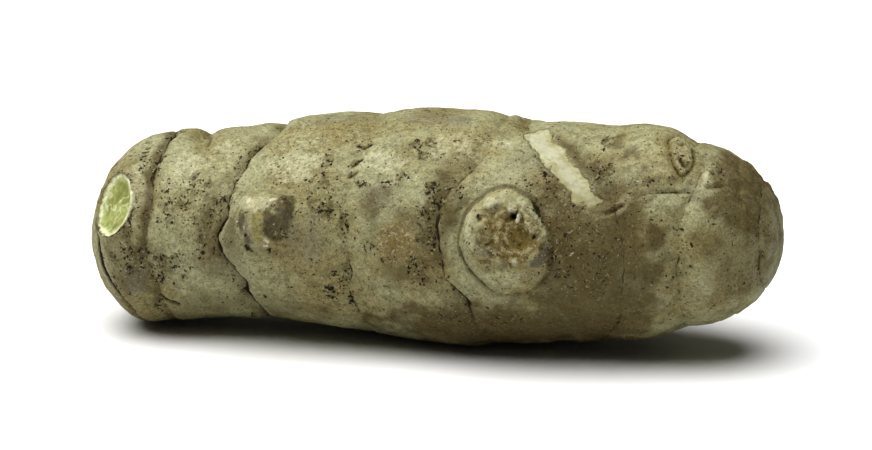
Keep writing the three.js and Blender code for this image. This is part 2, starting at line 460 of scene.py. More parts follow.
def carveLeafScars():
    carved = np.zeros(along.shape)
    stray = 0.28 * wander + 0.14 * flutter
    steep = np.sqrt(np.clip(1 - bareNormals[..., 0] ** 2, 0.02, 1))
    belly = 1 - 0.7 * bell(turnApart(turn, -80) / 32)
    for number, scar in enumerate(leafScars):
        course = sum(roundValue(scar["course"], off) for off in (-2, 0, 2)) / 3
        ahead, behind = (roundValue(scar["course"], off) for off in (2, -2))
        slope = (ahead - behind) / 4 * np.degrees(1 / np.maximum(radius, 3))
        apart = (along - course) / np.sqrt(1 + slope**2) / steep + stray
        wear = np.clip(0.9 + 0.5 * mottle(bare, 4.0, 2, seed=20 + number), 0.45, 1.15)
        dark = roundValue(scar["dark"]) * wear
        groove = scar["depth"] * wear * bell(apart / 0.26) * (0.3 + 0.7 * dark)
        valley = scar["valley"] * belly * (bell(apart / 1.9) * (apart < 0) + bell(apart / 0.5) * (apart >= 0))
        raised = scar["step"] * belly * wear * np.exp(-np.abs(apart) / 2.5) * ease(apart, 0, 0.35)
        carved += raised - groove - valley
        addLine(apart, dark)
        wide, strength = scar["dirt"]
        dirty = strength * (0.45 + 0.55 * dark) * wear
        broken = ease(mottle(bare, 4.0, 2, seed=40 + number), -0.2, 0.4)
        daub("umber", dirty * bell((apart + wide * 0.45) / wide))
        daub("soil", dirty * 0.85 * bell((apart + wide * 0.4) / wide) * broken)
    return carved


relief = carveLeafScars()
print("leaf scars:", len(leafScars))


# The bud scars, like half-shut eyes.

budScars = (  # lift is how far each plate stands up, and cut is where its notch is, in mm
    {"along": 81.5, "turn": 67, "lean": 14, "wide": 1.7, "tall": 4, "lift": 0.35, "cut": (0.05, -1.9)},
    {"along": 70.5, "turn": 196, "lean": 8, "wide": 1.9, "tall": 3.6, "lift": 0.55, "cut": (0.2, 0.6)},
    {"along": 13.2, "turn": 204, "lean": -5, "wide": 1.5, "tall": 3, "lift": 0.4, "cut": (-0.2, 0.4)},
    {"along": 86.4, "turn": 212, "lean": 4, "wide": 1.4, "tall": 2.4, "lift": 0.45, "cut": (0, 0.2)},
)


budPlate = {  # what the bud scars share, in mm
    "inner": (0.6, 0.74),  # the inner oval, as shares of the outer one's width and height
    "sunk": 0.5,  # how much of the lift it loses again
    "outerGroove": (0.25, 0.3),  # how deep and how wide
    "innerGroove": (0.12, 0.22),
    "notch": (0.4, 0.3),
}


def raiseBudScar(scar):
    u, v, near, _ = frameAt(scar["along"], scar["turn"], scar["lean"])
    u = u + 0.22 * wander
    v = v + 0.3 * flutter

    def lens(wide, tall):  # mm outside a pointed oval
        shape = np.abs(u) / wide + np.where(v > 0, np.abs(v / tall) ** 6, (v / tall) ** 2) - 1
        slope = np.where(v > 0, 6 * np.abs(v / tall) ** 5 / tall, 2 * v / tall**2)
        return shape / np.hypot(1 / wide, slope)

    wideShare, tallShare = budPlate["inner"]
    outer, inner = lens(scar["wide"], scar["tall"]), lens(scar["wide"] * wideShare, scar["tall"] * tallShare)
    plate = scar["lift"] * ease(-outer, -0.1, 0.5) - budPlate["sunk"] * scar["lift"] * ease(-inner, 0, 0.4)
    cutU, cutV = scar["cut"]
    notch = np.minimum(
        pathDistance(u, v, ((cutU - 0.45, cutV + 0.9), (cutU, cutV - 0.35))),
        pathDistance(u, v, ((cutU, cutV - 0.35), (cutU + 0.6, cutV + 0.3))),
    )
    pits = np.minimum(notch, pathDistance(u, v, ((-0.1, 2.0), (0.25, 2.3))) + 0.1)
    for apart, groove in ((outer, "outerGroove"), (inner, "innerGroove"), (pits, "notch")):
        deep, wide = budPlate[groove]
        plate -= deep * bell(apart / wide)
    for distance, dark in ((notch - 0.10, 0.65), (outer, 0.62), (inner, 0.35)):
        addLineNear(distance, dark, near, 0.5)
    daub("umber", near * (0.9 * bell(pits / 0.32) + 0.55 * bell(outer / 0.4)))
    daub("rust", near * 0.5 * bell(outer / 0.45))
    daub("soil", near * 0.5 * bell(notch / 0.3))
    daub("cream", near * 0.35 * ease(-outer, 0.1, 0.5) * (1 - bell(pits / 0.45)))
    return plate * near


for scar in budScars:
    relief += raiseBudScar(scar)
print("bud scars:", len(budScars))


# The creases, the root scars, the dimple and the swellings.

creases = (
    {"path": ((15.6, 90), (16.5, 80), (16.6, 71)), "wide": 0.28, "depth": 0.4, "dark": 0.6},
    {"path": ((12.2, 91), (11.4, 87), (11, 83)), "wide": 0.4, "depth": 0.4, "dark": 1},
    {"path": ((38.4, 56.5), (39.2, 54.5), (40.1, 57.5)), "wide": 0.24, "depth": 0.25, "dark": 0.85},
    {"path": ((38.1, 43.5), (39.2, 46.5)), "wide": 0.2, "depth": 0.22, "dark": 0.7},
    {"path": ((37.8, 37), (39, 39.5)), "wide": 0.2, "depth": 0.22, "dark": 0.6},
    {"path": ((11.7, -30), (13, -34), (14, -39)), "wide": 0.26, "depth": 0.35, "dark": 1},
    {"path": ((62.4, 55), (63.9, 51), (64.7, 47)), "wide": 0.22, "depth": 0.25, "dark": 0.5},
    {"path": ((72.8, 25), (73.8, 26), (75, 29)), "wide": 0.28, "depth": 0.35, "dark": 0.75},
    {"path": ((77.5, 35), (80.4, 37.5), (83.2, 41)), "wide": 0.16, "depth": 0.15, "dark": 0.6},
    {"path": ((85.6, 46), (87.2, 50)), "wide": 0.5, "depth": 0.28, "dark": 0.35},
    {"path": ((30.5, 150), (33, 157), (34.2, 166)), "wide": 0.25, "depth": 0.25, "dark": 0.6},
    {"path": ((51, 205), (54.5, 214), (56.5, 226)), "wide": 0.25, "depth": 0.25, "dark": 0.7},
)
rootScars = (  # (along, turn, radius in mm) of the rings that thin roots left
    (46.6, 56, 0.55), (48.3, 57, 0.65), (47.8, 50, 0.6), (72.4, 49, 0.9), (71.4, 70, 0.8), (44, 128, 1.2),
    (22, 140, 1), (62.5, 150, 1.3), (30, 232, 1.3), (52, 250, 1.5), (17.5, 262, 1.2), (66, 262, 1.3),
    (77.5, 236, 1.1), (40, 285, 1.4), (75.5, 300, 1), (24.5, 300, 1.1), (58, 176, 1), (78.5, 132, 1),
)
swellings = (  # (along, turn, long, tall, height in mm)
    (53, 24, 1.3, 2.4, 0.55), (54.6, 37, 1.4, 1.8, 0.4), (9.6, 95, 2.2, 8, 0.5), (13.2, 96, 1.6, 7, 0.2),
    (18.6, 96, 2.2, 7, 0.3), (15.3, 98, 1, 5, -0.95), (75.8, 82, 5, 6, 0.5), (66, 52, 2.5, 4, 0.25),
    (48.5, 16, 3.5, 6.5, -0.35), (31, -16, 6, 5, 0.3), (45.5, 70, 6, 5, 0.25), (73, 35, 1.5, 2, -0.55),
    (9.3, -8, 2, 3, -0.2), (85.2, 56, 0.9, 2.8, 0.3), (88, 66, 1.8, 2, 0.35), (89.5, 40, 2.2, 3, 0.25),
    (65.2, 34, 2, 4.5, -0.3), (74.5, 28, 1.6, 1.6, 0.5), (19.2, 6, 1.4, 5, -0.35),
)


wrinkles = {  # how high each kind stands, in mm
    "lumps": 0.2,
    "smallLumps": 0.1,
    "lengthwise": 0.09,  # growth wrinkles along the finger
    "moreAtTip": 0.16,
    "hoops": 0.06,  # and round it
    "bark": 0.05,
    "tip": (83, 88),  # along, where they grow stronger
}


def cutCreases():
    cut = np.zeros(along.shape)
    for crease in creases:
        apart = skinPath(crease["path"])
        cut -= crease["depth"] * bell(apart / crease["wide"])
        cut += 0.12 * bell((apart - 0.6) / 0.4)
        addLine(apart, crease["dark"] * 0.9)
        daub("umber", crease["dark"] * bell(apart / (crease["wide"] + 0.1)))
    return cut


def pressRootScars():
    pressed = np.zeros(along.shape)
    for centreAlong, centreTurn, size in rootScars:
        u, v, near, _ = frameAt(centreAlong, centreTurn)
        apart = np.hypot(u, v) * (1 + 0.25 * wander) - size
        rim, moat = bell((apart - 0.15) / 0.3), bell((apart + 0.35) / 0.25)
        pressed += near * (0.14 * rim - 0.20 * moat)
        broken = ease(flutter, -0.35, 0.1)
        daub("soil", near * 0.95 * bell(apart / 0.34) * broken)
        daub("umber", near * 0.6 * bell(apart / 0.45) * broken)
    return pressed


def swell():
    raised = np.zeros(along.shape)
    for centreAlong, centreTurn, long, tall, height in swellings:
        apart = np.hypot((along - centreAlong) / long, acrossFrom(centreTurn) / tall)
        raised += height * bell(apart * (1 + 0.15 * wander))
    return raised


def wrinkle():
    lumps = wrinkles["lumps"] * mottle(bare, 8.0, 2, seed=50)
    lumps += wrinkles["smallLumps"] * mottle(bare, 3.2, 2, seed=51)
    lengthwise = mottle(bare, (9.0, 1.5, 1.5), 2, seed=52) * ease(mottle(bare, 11.0, 1, seed=53), -0.1, 0.4)
    hoops = mottle(bare, (0.9, 9.0, 9.0), 1, seed=54) * ease(mottle(bare, 9.0, 1, seed=55), 0.0, 0.45)
    bark = wrinkles["bark"] * mottle(bare, 1.1, 2, seed=56)
    tip = ease(along, *wrinkles["tip"])
    lengthwise *= wrinkles["lengthwise"] + wrinkles["moreAtTip"] * tip
    return lumps + lengthwise + wrinkles["hoops"] * hoops + bark * (1 + tip)


relief += cutCreases() + pressRootScars() + swell() + wrinkle()


# The strip where the skin has peeled off.

peeledStrip = {
    "path": ((61.9, 73), (63.1, 65), (66, 51.5), (68.4, 41), (69.8, 33), (70.6, 25)),
    "half": 1.62,  # mm, half its width
    "grimeAndShadowEdge": ((64.8, 72), (68.2, 56), (71, 43), (72.6, 35)),  # where dirt lies beside it, with painted shadow beside its raised edge
    "sunk": 0.07,  # mm
    "lip": 0.05,
}


def peelStrip():
    ragged = 0.35 * mottle(bare, 2.0, 3, seed=60) + 0.20 * flutter + 0.3 * ease(turn, 50, 70)
    ragged += (0.3 + 0.9 * mottle(bare, 1.2, 2, seed=61)) * ease(turn, 40, 30)  # its lower end is torn
    ragged -= 0.9 * ease(turn, 31, 25)
    inside = peeledStrip["half"] - skinPath(peeledStrip["path"]) + ragged - 0.25 * wander
    edges["peel"] = np.clip(inside, -edgeReach, 0.05 + edgeReach * ease(turn, 27, 43))  # its lower end frays
    # a brown band beside the strip: dirt and painted shadow
    daub("umber", 0.85 * bell(skinPath(peeledStrip["grimeAndShadowEdge"]) / 0.9))
    lip = peeledStrip["lip"] * bell((inside + 0.3) / 0.35)
    return lip - peeledStrip["sunk"] * ease(inside, -0.1, 0.3)


relief += peelStrip()
relief *= 0.15 + 0.85 * ease(bare[..., 2], 0.05, 1.2)  # the resting side stays nearly flat
points = bare + bareNormals * relief[..., None]
heights = relief.copy()  # mm out of the bare skin, stubs and all


# The stubs of broken side shoots.

def raiseStub(stub, crown):
    u, v, near, outward = frameAt(stub["along"], stub["turn"])
    angle = np.arctan2(v, u)
    places = np.stack([u, v, np.full(u.shape, 3.0 * stub["seed"])], axis=2)
    rough = mottle(places, 2.4, 3, stub["seed"])
    size = byAngle(angle, stub["outline"])
    outline = np.hypot(u, v) / size
    edge = (outline - 1) * size + 0.22 * rough
    outline = 1 + edge / size
    climb = np.clip((1 - outline) / byAngle(angle, stub["shoulders"]), 0, 1)
    domed, eased = np.sqrt(1 - (1 - climb) ** 2), ease(climb, 0, 1)
    lift = stub["rise"] * (domed * (1 - stub["soft"]) + eased * stub["soft"])
    lift *= 1 + stub["tilt"] * np.cos(angle - math.radians(stub["highSide"])) * np.minimum(outline, 1)
    lift = crown(u, v, lift, outline, places) * near * (outline < 1)
    heights[...] += lift
    dark = byAngle(angle, stub["outlineDark"]) * (1 + 0.5 * rough)
    groove = 0.30 * dark * bell(edge / 0.28) * near
    addLineNear(edge, dark, near)
    # a brown band along the outline, as dark as the line there; on the large stub's upper right it is painted
    # shadow
    daub("umber", near * 0.7 * dark * bell((edge - 0.1) / 0.45))
    for dotU, dotV, dotSize in stub["dots"]:
        addLineNear(np.hypot(u - dotU, v - dotV) - dotSize, 1.0, near)
    for path, strength in stub["cracks"]:
        crack = pathDistance(u + 0.1 * rough, v - 0.1 * rough, path)
        addLineNear(crack, strength, near)
        groove += 0.22 * bell(crack / 0.2) * near
    return outward * (lift - groove)[..., None]


def spot(u, v, centreU, centreV, wide, tall, lean, hard):  # 1 in an oval's middle, 0 outside it
    du, dv = leaned(u - centreU, v - centreV, lean)
    return np.clip(hard * (1 - (du / wide) ** 2 - (dv / tall) ** 2), 0, 1)


def sawTooth(phase, climb, fall):  # scale upon scale: a slow climb and a sharp fall, about 0
    saw = phase % 1
    return np.minimum(saw / climb, (1 - saw) / fall) - 0.5


largeCrown = {
    "hollow": (0.9, 0.8, 4.3, 4.1),  # middle u, v and half sizes of the scaly hollow
    "sunk": 0.7,  # mm
    "rings": 2.6,  # of scales, in a spiral
    "pit": (2.3, 0.6, 1.9, 1.9),
    "pitSunk": 0.9,
    # raised scraps of old scales: (u, v, wide, tall, lean, height)
    "scraps": (
        (-2.5, 1.2, 1.15, 1.65, 12, 0.75), (-0.5, 3, 0.9, 1.5, -15, 0.5), (1.2, 4.5, 0.7, 0.6, 0, 0.7),
        (2, 3.3, 0.4, 0.8, -10, 0.9), (-1.9, 5, 1.1, 0.7, 20, 0.4), (1.6, -2.3, 0.9, 0.6, 0, 0.55),
        (3.5, 2.2, 0.6, 1.2, 40, 0.55), (-2.4, -1.1, 1.2, 0.8, -20, 0.3), (4, -1.2, 1.2, 0.9, 30, 0.4),
        (0.2, -2.7, 0.9, 0.5, -20, 0.3), (-1, 0.8, 0.45, 1.5, 12, 0.4), (2.6, -3.8, 1.3, 0.45, 10, 0.15),
    ),
    # ridges: (path in u, v; half width; height)
    "ridges": (
        (((2, 5.6), (3.4, 4.6), (4.8, 3.2), (5.7, 1.4)), 0.4, 0.65),
        (((2.4, 4.3), (3.7, 3.2), (4.6, 2)), 0.3, 0.45),
        (((-4.6, -1.5), (-4.9, 1.2), (-4.1, 3.4), (-2.6, 5.2), (-0.4, 6)), 0.8, 0.25),
        (((-0.2, 2.2), (-0.5, 0.6), (0.2, -0.8), (1.4, -1.5)), 0.28, 0.45),
        (((0.6, 1.9), (0.4, 0.7), (1, -0.4), (2, -0.9)), 0.24, 0.4),
        (((-1.7, -0.6), (-0.6, -1.8)), 0.22, 0.5),
    ),
    "holes": (  # (u, v, radius, depth)
        (1.2, 3.5, 0.42, 1.1), (-3.1, 2.9, 0.3, 0.6), (4.2, 1, 0.35, 0.6), (-2.9, -0.1, 0.35, 0.4),
        (-1.3, -1.2, 0.28, 0.3), (2.6, 2.6, 0.3, 0.4), (-2.4, -2.6, 0.5, 0.25),
    ),
}


def crownLarge(u, v, lift, outline, places):
    middleU, middleV, hollowWide, hollowTall = largeCrown["hollow"]
    rough = mottle(places, 1.5, 3, seed=71)
    inner = np.hypot((u - middleU) / hollowWide, (v - middleV) / hollowTall) * (1 + 0.22 * rough)
    scaly = ease(inner, 1.05, 0.88)
    lift = lift - largeCrown["sunk"] * ease(inner, 1.02, 0.60)
    turns = np.arctan2(v - middleV, u - middleU) / math.tau
    phase = inner * largeCrown["rings"] - turns + 0.45 * mottle(places, 2.0, 2, seed=72)
    lift = lift + 0.22 * sawTooth(phase, 0.82, 0.18) * scaly
    pitU, pitV, pitWide, pitTall = largeCrown["pit"]
    deep = ease(np.hypot((u - pitU) / pitWide, (v - pitV) / pitTall) + 0.15 * rough, 1.1, 0.35)
    lift = lift - largeCrown["pitSunk"] * deep
    for *oval, height in largeCrown["scraps"]:
        lift = lift + height * spot(u + 0.2 * rough, v + 0.15 * rough, *oval, 2.4)
    for path, half, height in largeCrown["ridges"]:
        lift = lift + height * bell((pathDistance(u, v, path) + 0.15 * rough) / half)
    for holeU, holeV, size, depth in largeCrown["holes"]:
        lift = lift - depth * bell(np.hypot(u - holeU, v - holeV) / size)
    lift = lift + 0.18 * mottle(places, 0.75, 3, seed=73) * scaly + 0.05 * mottle(places, 1.6, 2, seed=74)
    daub("scurf", scaly * (outline < 1))
    return lift


smallCrown = {
    # the faces of the snapped-off knob: (facing angle, slope, height at the middle)
    "facets": (
        (95, 0.42, 2.5), (140, 0.3, 2.4), (200, 0.45, 2.2), (262, 0.6, 2.6), (330, 0.55, 2.4), (20, 0.4, 2.2),
    ),
    # the brown hollow and a swelling: (u, v, wide, tall, lean, how hard its edge is; height; waver in v)
    "patches": (((2.1, -1.3, 1.4, 1.9, 8, 1.8), -0.35, 0.2), ((2.9, 2.1, 1.3, 1.3, 20, 2), 0.25, 0)),
    # ridges, and grooves below 0: (path in u, v; half width; height; waver in u and in v)
    "ridges": (
        (((2, 2.9), (1.6, 1.4), (0.8, 0.5)), 0.3, -0.18, 0.2, 0),
        (((2.6, 3.4), (3.5, 2.4), (3.3, 0.8), (3.6, -0.8)), 0.34, 0.35, 0.2, 0),
        (((-3.4, 1.2), (-1.8, 1.1), (-1.1, -0.6), (-0.9, -2.4)), 0.32, 0.25, 0, 0.3),
        (((-2.7, 0.4), (-2, -1.5), (-1.5, -3)), 0.35, -0.3, 0.3, 0),
    ),
    # a pit and the nubs: (u, v, radius, height)
    "dimples": (
        (-2.2, -3.8, 0.45, -0.7), (0.9, -2.8, 0.35, 0.3), (0.4, -3.4, 0.35, 0.3), (-0.9, -2.8, 0.35, 0.3),
        (-2.8, 1.9, 0.35, 0.3), (0.9, 3, 0.35, 0.3), (2.7, 1.1, 0.35, 0.3), (-1.6, -1.9, 0.35, 0.3),
    ),
}


def crownSmall(u, v, lift, outline, places):
    rough = mottle(places, 1.2, 3, seed=81)
    knob = lift * 1.25
    for facing, slope, height in smallCrown["facets"]:
        way = math.radians(facing)
        knob = np.minimum(knob, height - slope * (u * math.cos(way) + v * math.sin(way)))
    for oval, height, waver in smallCrown["patches"]:
        knob += height * spot(u + 0.3 * rough, v + waver * rough, *oval)
    for path, half, height, waverU, waverV in smallCrown["ridges"]:
        knob += height * bell(pathDistance(u + waverU * rough, v + waverV * rough, path) / half)
    for dimpleU, dimpleV, size, height in smallCrown["dimples"]:
        knob += height * bell(np.hypot(u - dimpleU, v - dimpleV) / size)
    daub("scurf", 0.5 * ease(outline, 1.0, 0.7))
    return (np.maximum(knob, 0) + 0.18 * mottle(places, 0.8, 3, seed=82)) * ease(outline, 1.0, 0.8)


def crownBack(u, v, lift, outline, places):
    rough = mottle(places, 1.4, 3, seed=91)
    u, v = u + 0.2, v - 0.5  # about the middle of its hollow
    inner = np.hypot(u / 3.0, v / 3.1) * (1 + 0.25 * rough)
    scaly = ease(inner, 1.1, 0.8)
    phase = inner * 2.6 + np.arctan2(v, u) / math.tau + 0.3 * rough
    lift = lift - 1.0 * ease(inner, 1.05, 0.2) + 0.38 * sawTooth(phase, 0.8, 0.2) * scaly
    daub("scurf", scaly * (outline < 1))
    daub("rust", 0.7 * ease(inner, 0.7, 0.2) * (outline < 1))
    return lift + 0.15 * mottle(places, 0.8, 3, seed=92) * scaly


for name, crown in (("large", crownLarge), ("small", crownSmall), ("back", crownBack)):
    points = points + raiseStub(stubs[name], crown)
print("stubs:", ", ".join(stubs))


# The broken face.

def cutFace():
    faces = [p for p in solid.polygons if np.dot(p.normal, faceNormal) > flatLimit]
    middle = np.mean([np.array(p.center) for p in faces], axis=0) / mm
    sideways = np.cross((0, 0, 1.0), faceNormal)
    sideways /= np.linalg.norm(sideways)
    upward = np.cross(faceNormal, sideways)
    p, q = ((points - middle) @ way - by for way, by in zip((sideways, upward), brokenFace["shift"]))
    size = byAngle(np.arctan2(q, p), brokenFace["outline"]) * (1 + 0.02 * mottle(bare, 1.6, 3, seed=65))
    inside = size - np.hypot(p, q)
    atFace = (along < 14) & (bareNormals @ faceNormal > 0.3)
    inside = np.where(atFace, np.clip(inside, -edgeReach, edgeReach), -edgeReach)
    edges["flesh"] = inside
    dark = 0.75 * byAngle(np.arctan2(q, p), brokenFace["edgeDark"])
    addLine(np.where(inside > 0.1 - edgeReach, inside + 0.15, farOff), dark)
    uneven = mottle(bare, 1.3, 2, seed=66)
    hollow = brokenFace["hollow"] * ease(inside, 0.1, 1.5) + 0.02 * mottle(bare, (3.0, 1.6, 1.6), 2, seed=67)
    flat = -((points - middle) @ faceNormal) - hollow
    lip = brokenFace["lip"] * bell((inside + 0.25) / 0.35) * (0.7 + uneven)
    return points + faceNormal * (flat * ease(inside, -0.35, 0.25) + lip)[..., None]


points = cutFace()
points[..., 2] = np.maximum(points[..., 2], 0)


# The stains and the soil, and some painted shadow and shade.

stainsAndShade = {  # each spot is (along, turn, long, tall, strength)
    "soil": (
        (9, -4, 2.2, 2.4, 1), (7.9, -3, 1.2, 1.6, 1), (67.8, 8, 2.6, 6, 0.6), (71.5, 3, 2.6, 5, 0.5),
        (69, 24, 1.6, 3, 0.6), (7.4, 34, 0.7, 4, 0.9), (7.9, 12, 0.8, 3, 0.8), (8.4, 62, 0.8, 4, 0.9),
        (22, 42, 0.8, 5, 0.7), (5.7, -3, 0.6, 0.6, 1), (12, -6, 1.8, 1.6, 0.9), (14.4, -6, 1.6, 1.4, 0.8),
        (15.8, -11, 0.9, 0.8, 1), (12, -14, 1.4, 1.4, 0.9), (15.4, -18, 1.2, 0.7, 0.8),
        (17.9, -3, 0.9, 0.6, 0.8), (11.6, -38, 1.2, 1.8, 0.9), (16, 32, 3.6, 3.4, 0.62),
        (14, 22, 2.6, 3, 0.62), (20.4, 27, 1.3, 0.9, 1), (19.6, 22, 1.4, 1.2, 0.9), (17.5, 10, 3, 3, 0.5),
        (23.3, -32, 1, 1, 1), (25.6, -33, 1.8, 0.8, 0.9), (35.8, -25, 1.2, 1.3, 1),
        (37.8, -16, 1.6, 1.8, 0.8), (38.6, -29, 1.2, 1.6, 0.8), (34.6, 44, 0.9, 3, 0.9),
        (35.6, 19, 0.9, 1.2, 1), (38, 10, 0.9, 2.4, 0.9), (34, 28, 2.2, 3.2, 0.6), (40, 33, 1, 0.6, 1),
        (42.7, 34, 1.4, 0.6, 1), (45.4, 38, 1.6, 0.6, 0.9), (49.2, 32, 1.3, 1.5, 1),
        (50.4, 26, 1.2, 1.2, 1), (48.4, 19, 0.8, 1.6, 1), (47.8, 23, 0.5, 0.5, 1),
        (49.6, 18, 1.6, 3, 0.7), (50.1, 8, 0.7, 1.2, 1), (50.4, 4, 0.6, 0.8, 1), (48.1, 9, 0.9, 0.7, 0.9),
        (42, 2, 1.6, 1, 0.7), (44, -2, 2, 1, 0.8), (48.2, -4, 1.8, 1.8, 0.8), (48.6, -11, 1.4, 1, 0.8),
        (52.6, 32, 1.8, 1.4, 0.7), (64.2, 44, 0.8, 1.2, 1), (62.6, 36, 1.6, 1.4, 0.6),
        (64.4, 31, 1.8, 1.6, 0.6), (65.2, 20, 1, 0.9, 0.9), (67.2, 26, 1.8, 3, 0.5),
        (71.5, 72, 0.7, 1.8, 0.6), (72.4, 48, 1, 1.4, 0.6), (76.4, 43, 2, 1, 0.6),
        (70.6, 46, 1.2, 3.6, 0.6), (44.1, -41, 0.8, 0.5, 0.8), (62.5, 9, 1, 1, 0.3),
        (86, 61, 1.2, 2, 0.7), (60, -33, 4, 1.4, 0.5), (52, -34, 3, 1.6, 0.5), (5.4, -27, 1, 3, 0.6),
        (20, 168, 5, 4, 0.6), (36, 200, 3, 5, 0.8), (48, 190, 3, 4, 0.7), (58, 215, 4, 4, 0.6),
        (66, 190, 3, 4, 0.8), (81, 206, 2.5, 4, 0.8), (28, 262, 6, 5, 0.6), (70, 285, 6, 4, 0.6),
        (88, 150, 3, 3, 0.6), (12, 190, 3, 3.5, 0.7), (30, 118, 3, 2, 0.6), (64, 118, 2.5, 2.5, 0.6),
        (18, 150, 2.4, 2.4, 0.9), (27.4, 205, 1.4, 4.5, 1), (33, 235, 3, 3, 0.7), (46, 215, 1.8, 2.4, 1),
        (52, 172, 3, 2.2, 0.8), (58.6, 152, 1.2, 4, 0.9), (62, 205, 2.4, 2.6, 0.8),
        (74, 150, 2.4, 2.8, 0.8), (74, 225, 2.4, 3.4, 0.9), (90, 182, 2.6, 2.8, 0.8),
        (8.6, 160, 1.6, 4, 0.9), (13, 235, 2.6, 3.6, 0.8), (38, 160, 1.6, 2, 0.9),
        (24, 182, 1.4, 1.6, 0.9), (83.5, 170, 1.2, 4, 0.8),
    ),
    "umber": (
        (48.3, 6, 4, 5.5, 0.6), (51.2, 22, 3.2, 7, 0.75), (43.5, 12, 4, 4, 0.25), (20.5, 8, 3.5, 7, 0.55),
        # the washes at (67, 22) and (71.5, -9), right of the large stub, are painted shadow
        (10.5, -8, 3.5, 5, 0.5), (67, 22, 3.5, 7, 0.75), (71.5, -9, 9.5, 18, 0.92),
        (46.8, 4, 5.5, 6, 0.6), (70.6, 30, 1.4, 2, 0.5), (64.5, 37, 3, 4, 0.4), (73, 36, 1.2, 1.4, 0.9),
        # the long washes at turn -42 make the underside darker
        (71.4, 28, 1.2, 1.4, 0.6), (58, -42, 17, 6, 1), (6.6, -7, 2.4, 8, 0.55), (24, -42, 14, 3, 0.45),
        # the washes at (89.5, 60) and (91, 20) darken the tip: partly its own brown, partly painted shadow
        (89.5, 60, 4.5, 10, 0.95), (91, 20, 7, 12, 0.5), (84.5, 96, 3, 4, 0.4), (41.5, 24, 3, 2.5, 0.5),
        (52.5, 46, 2.5, 2.5, 0.5), (38, 190, 5, 7, 0.5), (66, 200, 5, 8, 0.6), (50, 262, 12, 5, 0.45),
        (14, 200, 5, 6, 0.5), (80, 200, 4, 8, 0.5), (90, 250, 4, 8, 0.5), (29, 204, 4, 8, 0.6),
        (59.5, 180, 3, 8, 0.55), (8, 168, 3, 6, 0.5), (47, 212, 3, 4, 0.6),
    ),
    "ash": (
        (33, 4, 4, 3.6, 0.45), (8.8, -18, 2.2, 2.8, 0.6), (10.3, 18, 0.5, 4.5, 0.8),
        (42.5, 27, 3, 2.2, 0.45), (61.5, 52, 3.6, 3, 0.35), (48, 79, 6, 2.4, 0.5), (35, 82, 6, 2.4, 0.4),
        (22, -14, 3, 4, 0.4), (56, -24, 5, 4, 0.3), (30, 176, 5, 6, 0.5), (54, 160, 6, 4, 0.45),
        (76, 170, 4, 5, 0.5), (84, 45, 2, 3, 0.4),
    ),
    "cream": (
        (66.8, 12, 0.3, 1.3, 0.9), (67.8, 15, 0.25, 1, 0.9), (8, 36, 2.2, 6.5, 0.6),
        (14.5, 52, 3, 4, 0.45), (19.5, 58, 3, 4, 0.4), (6, 74, 3.6, 4, 0.3), (30.5, 44, 4, 3, 0.6),
        (30, 62, 4, 4, 0.35), (42, 46, 3.5, 2, 0.55), (51.5, 55, 4, 3, 0.5), (56.8, 62, 2.2, 1.8, 0.55),
        (76.5, 56, 3.5, 5, 0.3), (85, 56, 0.8, 2.8, 0.55), (80.5, 34, 2.6, 0.8, 0.5),
        (26, 122, 6, 4, 0.4), (70, 120, 5, 4, 0.4), (46, 150, 4, 4, 0.4),
    ),
    "rust": (
        (14.8, 72, 2.6, 2, 0.25), (57, 57, 1.6, 1.2, 0.4), (47, 84, 4, 1.6, 0.25),
        (59.4, 84, 0.8, 3.5, 0.45), (68, 10, 2.4, 6, 0.42), (70.5, -4, 3, 5, 0.3), (8.6, 50, 1, 1.4, 0.2),
        (76, 210, 4, 3, 0.3),
    ),
}
clods = (  # (along, turn, radius in mm) of the largest dark crumbs
    (5.7, -3, 0.35), (8.1, 3, 0.32), (8.5, -4, 0.2), (15.4, -9, 0.22), (11.9, -11, 0.15), (3.9, 69, 0.3),
    (7.6, 78, 0.2), (20.8, 27, 0.28), (49.6, 35, 0.3), (50, 10, 0.28), (35, 36, 0.15), (35.6, 18, 0.22),
    (32.1, -3, 0.1), (32.3, -19, 0.1), (49.2, 30, 0.2), (50.3, 25, 0.15), (64.2, 44, 0.05),
    (38.4, 12, 0.12), (44.2, 196, 0.2), (36, 204, 0.25), (66.5, 188, 0.2), (27.6, 209, 0.32),
    (46.2, 213, 0.28), (18.6, 152, 0.3), (73.6, 222, 0.32), (58.9, 150, 0.25), (9, 164, 0.28),
    (33.6, 231, 0.22), (52.6, 170, 0.22), (62.4, 207, 0.25), (24.2, 181, 0.22), (38.4, 159, 0.22),
    (89, 184, 0.22), (74.6, 151, 0.2),
)


def stainAndShade():
    crumbly = mottle(bare, 0.55, 2, seed=68)
    for centreAlong, centreTurn, size in clods:
        across = acrossFrom(centreTurn) + 0.25 * wander
        apart = np.hypot((along - centreAlong) * 0.8 + 0.25 * flutter, across)
        addLine(apart - 0.8 * size + 0.45 * crumbly + 0.2, 1.0)
    for pigment, spots in stainsAndShade.items():
        for centreAlong, centreTurn, long, tall, strength in spots:
            daub(pigment, strength * spread(centreAlong, centreTurn, long, tall))


